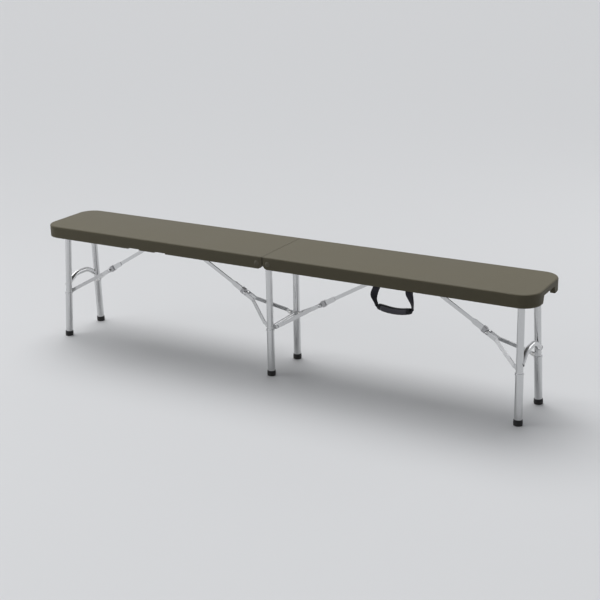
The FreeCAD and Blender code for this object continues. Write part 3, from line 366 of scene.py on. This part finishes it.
def webWeave():
    # woven band from its UVs in metres: u across, v along
    tree, given, result = newGroup("webWeave", {"Rib Pitch": 0.0016, "Thread Pitch": 0.0011},
                                   ("Height", "Tone"))
    fixed = effects["weave"]
    coords = addNode(tree, "ShaderNodeTexCoord", -1100, 0).outputs["UV"]
    rows = mathNode(tree, "DIVIDE", -700, 150, axisOf(tree, -900, 100, coords, "Y"), given["Thread Pitch"])
    cols = mathNode(tree, "DIVIDE", -700, -150, axisOf(tree, -900, -100, coords, "X"), given["Rib Pitch"])
    rib = mathNode(tree, "FLOOR", -640, -300, cols)
    offset = mathNode(tree, "MULTIPLY", -520, -300, rib, fixed["step"])
    slant = mathNode(tree, "ADD", -520, 150, rows, offset)

    def humps(y, value, power):
        wave = mathNode(tree, "SINE", -350, y, mathNode(tree, "MULTIPLY", -440, y, value, pi))
        return mathNode(tree, "POWER", -80, y, mathNode(tree, "ABSOLUTE", -200, y, wave), power)
    across, along = humps(-100, cols, fixed["ribRound"]), humps(150, slant, fixed["threadRound"])
    height = mathNode(tree, "MULTIPLY", 0, 50, across, along)
    feed(tree, height, result["Height"])
    feed(tree, rangeNode(tree, 200, 0, height, (0.0, 1.0), fixed["tone"]), result["Tone"])
    return tree


groups = {"grain": pebbleGrain(), "rub": rubbedBand(), "scuff": scuffStreaks(), "powder": powderSkin(),
          "dust": floorDust(), "weave": webWeave()}
print("shared effects ready")


# Materials

def useGroup(tree, key, x, y, values):
    node = addNode(tree, "ShaderNodeGroup", x, y, node_tree=groups[key])
    for label, value in values.items():
        node.inputs[label].default_value = value
    return node.outputs


def bumped(tree, shader, height, distance, strength):
    node = addNode(tree, "ShaderNodeBump", 250, -300)
    for label, value in (("Distance", distance), ("Strength", strength), ("Height", height)):
        feed(tree, value, node.inputs[label])
    feed(tree, node.outputs["Normal"], shader.inputs["Normal"])


seatLook = {
    "color": (0.116, 0.103, 0.066), "rubbed": (0.185, 0.172, 0.125), "scuffed": (0.15, 0.138, 0.095),
    "roughness": 0.56, "specular": 0.26, "scuffRough": 0.1, "grainDeep": 0.0003, "grainStrength": 0.55,
    "grain": {"Grain Size": 780.0, "Drift Size": 2.2},
    "wear": (   # effect, its values, how strong, its colour: lower rim, top edge, scuffs
        ("rub", {"Height": 0.3805, "Reach": 0.0035, "Patch Size": 26.0}, 0.7, "rubbed"),
        ("rub", {"Height": 0.4205, "Reach": 0.0016, "Patch Size": 18.0}, 0.22, "rubbed"),
        ("scuff", {"Size": 46.0, "Stretch": 0.12, "Amount": 0.64}, 0.25, "scuffed"),
    ),
}


def seatPlastic():
    mat, tree, shader = startMaterial("seatPlastic")
    grain = useGroup(tree, "grain", -700, 300, seatLook["grain"])
    color = toned(tree, -350, 300, seatLook["color"], grain["Tone"])
    for number, (effect, values, strength, shade) in enumerate(seatLook["wear"]):
        y = 50 - 200 * number
        mask = useGroup(tree, effect, -700, y, values)["Mask"]
        weak = mathNode(tree, "MULTIPLY", -400, y, mask, strength)
        color = blended(tree, -150 + 150 * number, 250, weak, color, seatLook[shade])
    feed(tree, color, shader.inputs["Base Color"])
    gloss = mathNode(tree, "ADD", 0, -50, grain["Gloss"], seatLook["roughness"])
    worn = mathNode(tree, "MULTIPLY", 0, -200, mask, seatLook["scuffRough"])   # the last mask, the scuffs
    feed(tree, mathNode(tree, "ADD", 150, -50, gloss, worn), shader.inputs["Roughness"])
    feed(tree, seatLook["specular"], shader.inputs["Specular IOR Level"])
    bumped(tree, shader, grain["Height"], seatLook["grainDeep"], seatLook["grainStrength"])
    return mat


metalLooks = {   # colour, metallic, roughness, peel height
    "legPaint": ((0.66, 0.665, 0.67), 0.90, 0.19, 0.00006),
    "bracketSteel": ((0.62, 0.62, 0.61), 0.95, 0.36, 0.00004),
    "fastenerSteel": ((0.72, 0.715, 0.70), 1.0, 0.25, 0.00002),
    "ringSteel": ((0.42, 0.42, 0.43), 0.95, 0.34, 0.00004),
}
metalWear = {
    "scuff": {"Size": 150.0, "Stretch": 0.5, "Amount": 0.66}, "scuffShare": 0.3, "scuffDark": 0.75,
    "scuffRough": 0.12, "dust": {"Reach": 0.06}, "dustShare": 0.22, "dustColor": (0.24, 0.23, 0.21),
    "peelStrength": 0.5,
}


def metalFinish(name):
    color, metallic, roughness, peel = metalLooks[name]
    wear = metalWear
    mat, tree, shader = startMaterial(name)
    powder = useGroup(tree, "powder", -500, 200, {})
    scuff = useGroup(tree, "scuff", -500, -100, wear["scuff"])["Mask"]
    dust = useGroup(tree, "dust", -500, -350, wear["dust"])["Mask"]
    shade = toned(tree, -250, 300, color, powder["Tone"])
    shade = blended(tree, 0, 250, mathNode(tree, "MULTIPLY", -250, -100, scuff, wear["scuffShare"]), shade,
                    tuple(c * wear["scuffDark"] for c in color))
    shade = blended(tree, 180, 250, mathNode(tree, "MULTIPLY", -250, -350, dust, wear["dustShare"]), shade,
                    wear["dustColor"])
    feed(tree, shade, shader.inputs["Base Color"])
    worn = mathNode(tree, "MULTIPLY", -50, 0, scuff, wear["scuffRough"])
    feed(tree, mathNode(tree, "ADD", 100, 0, worn, roughness), shader.inputs["Roughness"])
    feed(tree, metallic, shader.inputs["Metallic"])
    bumped(tree, shader, powder["Height"], peel, wear["peelStrength"])
    return mat


plainLooks = {   # colour, dusty colour, roughness, grain height
    "footRubber": ((0.012, 0.012, 0.013), (0.045, 0.043, 0.040), 0.6, 0.0002),
    "pinPaint": (seatLook["color"], seatLook["rubbed"], 0.45, 0.0001),
}
plainWear = {"grain": {"Grain Size": 1500.0, "Drift Size": 20.0}, "grainStrength": 0.5,
             "dust": {"Reach": 0.022}}


def plainFinish(name):
    color, dusty, roughness, depth = plainLooks[name]
    mat, tree, shader = startMaterial(name)
    grain = useGroup(tree, "grain", -500, 200, plainWear["grain"])
    dust = useGroup(tree, "dust", -500, -300, plainWear["dust"])["Mask"]
    shade = blended(tree, 150, 250, dust, toned(tree, -250, 300, color, grain["Tone"]), dusty)
    feed(tree, shade, shader.inputs["Base Color"])
    feed(tree, mathNode(tree, "ADD", 0, 0, grain["Gloss"], roughness), shader.inputs["Roughness"])
    bumped(tree, shader, grain["Height"], depth, plainWear["grainStrength"])
    return mat


clothLooks = {   # colour, sheen, rib pitch and thread pitch in metres
    "strapWebbing": ((0.013, 0.012, 0.020), 0.25, 0.0024, 0.0015),
    # the grip's grey is paler than its near-black sleeve: it colours the strips along the grip's front and
    # back as a painted highlight
    "gripHighlightGrey": ((0.090, 0.088, 0.102), 0.35, 0.0012, 0.0012),
    "gripBand": ((0.008, 0.008, 0.011), 0.2, 0.0010, 0.0010),
    "threadCotton": ((0.05, 0.05, 0.058), 0.3, 0.0004, 0.0006),
}
clothFeel = {"grain": {"Grain Size": 300.0, "Drift Size": 30.0}, "roughness": 0.82, "sheenRough": 0.4,
             "weaveDeep": 0.0004, "weaveStrength": 0.7}


def clothFinish(name):
    color, sheen, rib, thread = clothLooks[name]
    mat, tree, shader = startMaterial(name)
    weave = useGroup(tree, "weave", -500, 200, {"Rib Pitch": rib, "Thread Pitch": thread})
    grain = useGroup(tree, "grain", -500, -100, clothFeel["grain"])
    tone = mathNode(tree, "MULTIPLY", -250, 50, weave["Tone"], grain["Tone"])
    feed(tree, toned(tree, -50, 250, color, tone), shader.inputs["Base Color"])
    rough = mathNode(tree, "ADD", 0, 0, grain["Gloss"], clothFeel["roughness"])
    feed(tree, rough, shader.inputs["Roughness"])
    feed(tree, sheen, shader.inputs["Sheen Weight"])
    feed(tree, clothFeel["sheenRough"], shader.inputs["Sheen Roughness"])
    bumped(tree, shader, weave["Height"], clothFeel["weaveDeep"], clothFeel["weaveStrength"])
    return mat


finishes = {"seat_plastic": seatPlastic(), "leg_paint": metalFinish("legPaint"),
            "bracket_steel": metalFinish("bracketSteel"), "fastener_steel": metalFinish("fastenerSteel"),
            "ring_steel": metalFinish("ringSteel"), "foot_rubber": plainFinish("footRubber"),
            "pin_paint": plainFinish("pinPaint"), "strap_webbing": clothFinish("strapWebbing"),
            "grip_fabric": clothFinish("gripHighlightGrey"), "grip_band": clothFinish("gripBand"),
            "thread": clothFinish("threadCotton")}

slotOf = {entry["node"]: entry["material_slot"] for entry in frame["record"]["subparts"]}
for name, node in nodes.items():
    node.data.materials.clear()
    node.data.materials.append(finishes[slotOf[name]])
print("materials ready:", len(finishes))


# Mesh helpers

def newPiece(name, mesh, finish):
    mesh.materials.append(finishes[finish])
    mesh.shade_smooth()
    return addObject(name, mesh)


def addPiece(name, mesh, body, finish):
    obj = newPiece(name, mesh, finish)
    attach(obj, body)
    return obj


def shellMesh(name, shells, loop=False, uvs=None):
    # each shell is a list of rings of equal count, joined by quads, with an end face at
    # both ends or joined round in a loop; uvs gives (u, v) for ring i and point j
    build = bmesh.new()
    layer = build.loops.layers.uv.new("UVMap") if uvs else None
    for rings in shells:
        grid = [[build.verts.new(point) for point in ring] for ring in rings]
        count = len(rings[0])
        for i in range(len(rings) if loop else len(rings) - 1):
            here, there = grid[i], grid[(i + 1) % len(rings)]
            for j in range(count):
                k = (j + 1) % count
                face = build.faces.new((here[j], here[k], there[k], there[j]))
                if uvs:
                    spots = (uvs(i, j), uvs(i, j + 1), uvs(i + 1, j + 1), uvs(i + 1, j))
                    for corner, uv in zip(face.loops, spots):
                        corner[layer].uv = uv
        if not loop:
            build.faces.new(grid[0][::-1])
            build.faces.new(grid[-1])
    bmesh.ops.recalc_face_normals(build, faces=build.faces)
    mesh = bpy.data.meshes.new(name)
    build.to_mesh(mesh)
    build.free()
    return mesh


def circle(centre, side, other, radius, count):
    angles = [2 * pi * k / count for k in range(count)]
    return [centre + (side * cos(angle) + other * sin(angle)) * radius for angle in angles]


def smoothStep(t):
    t = min(max(t, 0.0), 1.0)
    return t * t * (3 - 2 * t)


# Carry handle: webbing that is screwed under the rim, folds over it, hangs with a twist and bends
# into a padded grip

handle = {
    # straps, the one near the seam first; turns in degrees, the rest in metres
    "strapX": (0.408, 0.518), "lowX": (0.4055, 0.5270), "bow": (-0.008, 0.001), "turn": (88, -45),
    "tabZ": 0.37875, "tabInner": -0.1120, "foldY": -0.1235, "foldRadius": 0.0022,
    "width": 0.025, "lowWidth": 0.020, "thick": 0.0022, "edgeThin": 0.45, "cup": 0.0002,
    "twistFrom": 0.1, "twistLong": 0.85, "bend": 0.007, "insideStep": 0.004,
    "tabSteps": 5, "foldSteps": 6, "hangSteps": 30, "bendSteps": 8, "squareSteps": 6, "insideSteps": 3,
    "acrossSteps": 10,
}
grip = {
    # an oval sleeve that sags between its ends and narrows into them
    "x": (0.4135, 0.5215), "y": -0.1175, "endZ": 0.3155, "sag": 0.0078, "high": 0.0190, "deep": 0.0250,
    "oval": 2.3, "endSize": 0.80, "endReach": 0.016, "pucker": 0.02, "puckerReach": 0.02, "puckerFolds": 10,
    "crease": 0.010, "creaseTurns": 47, "around": 40, "spans": 72, "girth": 0.070,
}
bands = {"long": 0.010, "over": 0.001, "proud": 0.0006, "crown": 0.0005, "spans": 8}
# strips along the grip's front and back, coloured paler than the sleeve: a painted highlight of the grip's
# lit face
highlightStrips = {"x": (0.4235, 0.5110), "arc": (120, 204), "proud": 0.0009, "base": 0.0003, "sunk": 0.0009,
           "endSlope": 16, "sideSlope": 8, "ripple": 0.0002, "rippleTurns": (61, 5), "wide": 0.030,
           "spans": 48, "acrossSteps": 16}
stitches = {"rows": (0.0025, 0.0062), "count": 14, "share": 0.55, "proud": 0.0013, "thick": 0.00035,
            "arch": 0.5, "sides": 6,
            "profile": ((0.0, 0.25), (0.12, 0.8), (0.5, 1.0), (0.88, 0.8), (1.0, 0.25))}   # along, thickness


def gripCentre(x):
    left, right = grip["x"]
    t = (x - left) / (right - left)
    return grip["endZ"] - grip["sag"] * 4 * t * (1 - t)


def strapFrames(index):
    # (middle, direction across the webbing, half width) from the screwed end to inside the grip
    h = handle
    inward = (1, -1)[index]
    top, low, radius = h["strapX"][index], h["lowX"][index], h["foldRadius"]
    wide, narrow = h["width"], h["lowWidth"]
    along = Vector((1, 0, 0))
    frames = []
    for step in range(h["tabSteps"]):
        y = h["tabInner"] + (h["foldY"] + radius - h["tabInner"]) * step / h["tabSteps"]
        frames.append((Vector((top, y, h["tabZ"])), along, wide / 2))
    for step in range(h["foldSteps"] + 1):
        angle = pi / 2 * step / h["foldSteps"]
        y, z = h["foldY"] + radius * (1 - sin(angle)), h["tabZ"] - radius * (1 - cos(angle))
        frames.append((Vector((top, y, z)), along, wide / 2))
    start = frames[-1][0].z
    end = gripCentre(low + inward * h["bend"]) + h["bend"]
    turn = radians(h["turn"][index])
    for step in range(1, h["hangSteps"] + 1):
        t = step / h["hangSteps"]
        ease = smoothStep(t)
        angle = turn * smoothStep((t - h["twistFrom"]) / h["twistLong"])
        middle = Vector((top + (low - top) * ease + h["bow"][index] * sin(pi * t),
                         h["foldY"] + (grip["y"] - h["foldY"]) * ease, start + (end - start) * t))
        frames.append((middle, Vector((cos(angle), sin(angle), 0)), (wide + (narrow - wide) * ease) / 2))
    square = inward * pi / 2
    for step in range(1, h["bendSteps"] + h["insideSteps"] + 1):
        bent, inside = min(step, h["bendSteps"]), max(step - h["bendSteps"], 0)
        angle = pi / 2 * bent / h["bendSteps"]
        turned = turn + (square - turn) * smoothStep(step / h["squareSteps"])
        x = low + inward * (h["bend"] * (1 - cos(angle)) + h["insideStep"] * inside)
        z = gripCentre(x) if inside else end - h["bend"] * sin(angle)
        frames.append((Vector((x, grip["y"], z)), Vector((cos(turned), sin(turned), 0)), narrow / 2))
    return frames


def strapMesh(name, index):
    frames = strapFrames(index)
    across = handle["acrossSteps"]
    rings, lengths = [], []
    run = 0.0
    for i, (middle, wide, half) in enumerate(frames):
        before, after = frames[max(i - 1, 0)][0], frames[min(i + 1, len(frames) - 1)][0]
        face = (after - before).normalized().cross(wide).normalized()
        run += (middle - before).length
        lengths.append(run)
        front, back = [], []
        for j in range(across + 1):
            s = -1 + 2 * j / across
            skin = handle["thick"] / 2 * (handle["edgeThin"] if abs(s) == 1 else 1.0)
            spot = middle + wide * half * s - face * handle["cup"] * s * s
            front.append(spot + face * skin)
            back.append(spot - face * skin)
        rings.append(front + back[::-1])
    count = 2 * (across + 1)

    def bandUv(i, j):
        k = j % count
        return handle["width"] * min(k, count - 1 - k) / across, lengths[i]
    return shellMesh(name, [rings], uvs=bandUv)


def makeStrap(name, index):
    obj = newPiece(name, strapMesh(name, index), "strap_webbing")
    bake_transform(obj)
    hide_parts("handle_straps", "handle_strap_ends")


def gripEdge(x):
    left, right = grip["x"]
    return min(x - left, right - x)


def gripSize(x):
    return grip["endSize"] + (1 - grip["endSize"]) * smoothStep(gripEdge(x) / grip["endReach"])


def gripPoint(x, angle, size, proud=0.0):
    # a point on the grip's oval skin; angle 0 points away from the near edge of the seat
    step, power = 0.001, grip["oval"]
    slope = (gripCentre(x + step) - gripCentre(x - step)) / (2 * step)
    lift = Vector((-slope, 0, 1)).normalized()
    flat = 1 / (abs(cos(angle)) ** power + abs(sin(angle)) ** power) ** (1 / power)
    return (Vector((x, grip["y"], gripCentre(x)))
            + Vector((0, 1, 0)) * cos(angle) * (flat * grip["deep"] / 2 * size + proud)
            + lift * sin(angle) * (flat * grip["high"] / 2 * size + proud))


def sleeveMesh(name):
    g = grip
    left, right = g["x"]
    rings = []
    for i in range(g["spans"] + 1):
        t = i / g["spans"]
        x = left + (right - left) * t
        pucker = g["pucker"] * max(0.0, 1 - gripEdge(x) / g["puckerReach"])
        ring = []
        for j in range(g["around"]):
            angle = 2 * pi * j / g["around"]
            crease = g["crease"] * sin(t * g["creaseTurns"] + 2 * sin(angle)) * sin(angle * 2)
            wave = 1 + pucker * cos(angle * g["puckerFolds"]) + crease
            ring.append(gripPoint(x, angle, gripSize(x) * wave))
        rings.append(ring)

    def sleeveUv(i, j):
        return g["girth"] * j / g["around"], (right - left) * i / g["spans"]
    return shellMesh(name, [rings], uvs=sleeveUv)


def bandMesh(name, start):
    # an end band round the sleeve, crowned along its length
    around, spans = grip["around"], bands["spans"]
    rings = []
    for i in range(spans + 1):
        x = start + bands["long"] * i / spans
        proud = bands["proud"] + bands["crown"] * sin(pi * i / spans)
        rings.append([gripPoint(x, 2 * pi * j / around, gripSize(x), proud) for j in range(around)])

    def bandUv(i, j):
        return grip["girth"] * j / around, bands["long"] * i / spans
    return shellMesh(name, [rings], uvs=bandUv)


def highlightStripMesh(name, mirrored):
    # a raised strip along one side of the grip, thin at its edges, coloured paler than the near-black sleeve
    # as a painted highlight of the grip's lit face
    f = highlightStrips
    start, end = f["x"]
    first, last = (radians(a) for a in f["arc"])
    spans, across = f["spans"], f["acrossSteps"]
    rings = []
    for i in range(spans + 1):
        t = i / spans
        x = start + (end - start) * t
        fade = smoothStep(min(t, 1 - t) * f["endSlope"])
        outer, inner = [], []
        for j in range(across + 1):
            s = j / across
            angle = first + (last - first) * s
            angle = pi - angle if mirrored else angle
            lift = f["proud"] * fade * smoothStep(min(s, 1 - s) * f["sideSlope"])
            ripple = f["ripple"] * sin(t * f["rippleTurns"][0] + f["rippleTurns"][1] * s) * fade
            outer.append(gripPoint(x, angle, 1.0, f["base"] + lift + ripple))
            inner.append(gripPoint(x, angle, 1.0, -f["sunk"]))
        rings.append(outer + inner[::-1])

    def stripUv(i, j):
        return f["wide"] * min(j, 2 * across + 1 - j) / across, (end - start) * i / spans
    return shellMesh(name, [rings], uvs=stripUv)


def stitchMesh(name):
    # short raised stitches, in two rows round each end band
    s = stitches
    left, right = grip["x"]
    rows = [left + gap for gap in s["rows"]] + [right - gap for gap in s["rows"][::-1]]
    shells = []
    for row in rows:
        for k in range(s["count"]):
            start, end = (gripPoint(row, 2 * pi * turn / s["count"], gripSize(row), s["proud"])
                          for turn in (k, k + s["share"]))
            ahead = end - start
            out = ((start + end) / 2 - Vector((row, grip["y"], gripCentre(row)))).normalized()
            side = ahead.normalized().cross(out).normalized()
            shells.append([circle(start + ahead * t + out * s["thick"] * s["arch"] * sin(pi * t), side, out,
                                  s["thick"] * size, s["sides"]) for t, size in s["profile"]])
    return shellMesh(name, shells)


def makeGrip():
    left, right = grip["x"]
    sleeve = addPiece("gripSleeve", sleeveMesh("gripSleeve"), "handle", "grip_band")
    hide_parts("handle_grip")
    for name, start in (("gripBandNearSeam", left - bands["over"]),
                        ("gripBandFarFromSeam", right + bands["over"] - bands["long"])):
        addPiece(name, bandMesh(name, start), "handle", "grip_band")
    # paler strips along the front and back of the grip: a painted highlight
    for name, mirrored in (("gripHighlightStripFront", False), ("gripHighlightStripBack", True)):
        addPiece(name, highlightStripMesh(name, mirrored), "handle", "grip_fabric")
    addPiece("gripStitches", stitchMesh("gripStitches"), "handle", "thread")


makeStrap("strapNearSeam", 0)
makeStrap("strapFarFromSeam", 1)
makeGrip()
print("handle ready")


# Leg frames: weld beads where the arches and the cross tube meet the legs, and ribs round the foot caps

legs = {   # (x, y) of the far leg at its top and at its foot, in metres, and its body
    "right": ((0.854, 0.068), (0.867, 0.092), "right_leg_frame"),
    "left": ((-0.854, 0.068), (-0.867, 0.092), "left_leg_frame"),
    "centre": ((0.0, 0.087), (0.0, 0.087), "root"),
}
legTop = 0.3955
welds = {
    "legRadius": 0.011, "crossRadius": 0.005, "crossHeight": 0.1682,
    "archRadius": 0.009, "archFoot": 0.190, "archCrown": 0.221, "archFlat": 0.035, "archSet": 0.0055,
    "bead": 0.0013, "ripple": 0.28, "rippleStep": 2.1, "around": 8,
    "steps": 40, "stride": 0.0001, "longest": 0.05,
}
ribs = {"capRadius": 0.014, "heights": (0.0045, 0.0075, 0.0105), "thick": 0.0007, "steps": 40, "around": 6}


def beadMesh(name, spots):
    # a rippled round bead that closes on itself, through (point, outward direction) pairs
    rings = []
    for i, (point, out) in enumerate(spots):
        before, after = spots[i - 1][0], spots[(i + 1) % len(spots)][0]
        side = (after - before).normalized().cross(out).normalized()
        size = welds["bead"] * (1 + welds["ripple"] * sin(i * welds["rippleStep"]))
        rings.append(circle(point, out, side, size, welds["around"]))
    return shellMesh(name, [rings], loop=True)


def weldSpots(top, foot, arched):
    # the cut where an arch's end or the cross tube meets the round leg
    w = welds
    inward = -1 if top.y > 0 else 1
    down = (foot - top).normalized()
    if arched:
        flat = Vector((down.x, 0, down.z)).normalized()
        outward = Vector((-flat.z, 0, flat.x)) * w["archSet"] * (1 if top.x > 0 else -1)
        low, high = (top + down * ((top.z - w[key]) / -down.z) for key in ("archFoot", "archCrown"))
        bend = Vector((high.x, -inward * w["archFlat"], high.z))
        start, radius, ahead = low + outward, w["archRadius"], (bend - low).normalized()
    else:
        start, radius, ahead = Vector((0, top.y, w["crossHeight"])), w["crossRadius"], Vector((0, inward, 0))
    side = ahead.cross(Vector((0, 0, 1))).normalized()
    spots = []
    for out in circle(Vector(), side, side.cross(ahead), 1.0, w["steps"]):
        reach, point, away = 0.0, start, Vector()
        while away.length < w["legRadius"] and reach < w["longest"]:
            point = start + out * radius + ahead * reach
            away = (point - top) - down * (point - top).dot(down)
            reach += w["stride"]
        spots.append((point, (out + away.normalized()).normalized()))
    return spots


def ribMesh(name, foot, up):
    # thin rings round the foot cap
    side = up.orthogonal().normalized()
    outs = circle(Vector(), side, up.cross(side), 1.0, ribs["steps"])
    shells = [[circle(foot + up * height + out * ribs["capRadius"], out, up, ribs["thick"], ribs["around"])
               for out in outs] for height in ribs["heights"]]
    return shellMesh(name, shells, loop=True)


for prefix, (topSpot, footSpot, body) in legs.items():
    for end, side in (("Near", -1), ("Far", 1)):
        leg = prefix + end
        top = Vector((topSpot[0], side * topSpot[1], legTop))
        foot = Vector((footSpot[0], side * footSpot[1], 0))
        bead = beadMesh(leg + "Weld", weldSpots(top, foot, body != "root"))
        addPiece(leg + "Weld", bead, body, "leg_paint")
        rings = ribMesh(leg + "FootRibs", foot, (top - foot).normalized())
        addPiece(leg + "FootRibs", rings, body, "foot_rubber")
print("leg details ready")
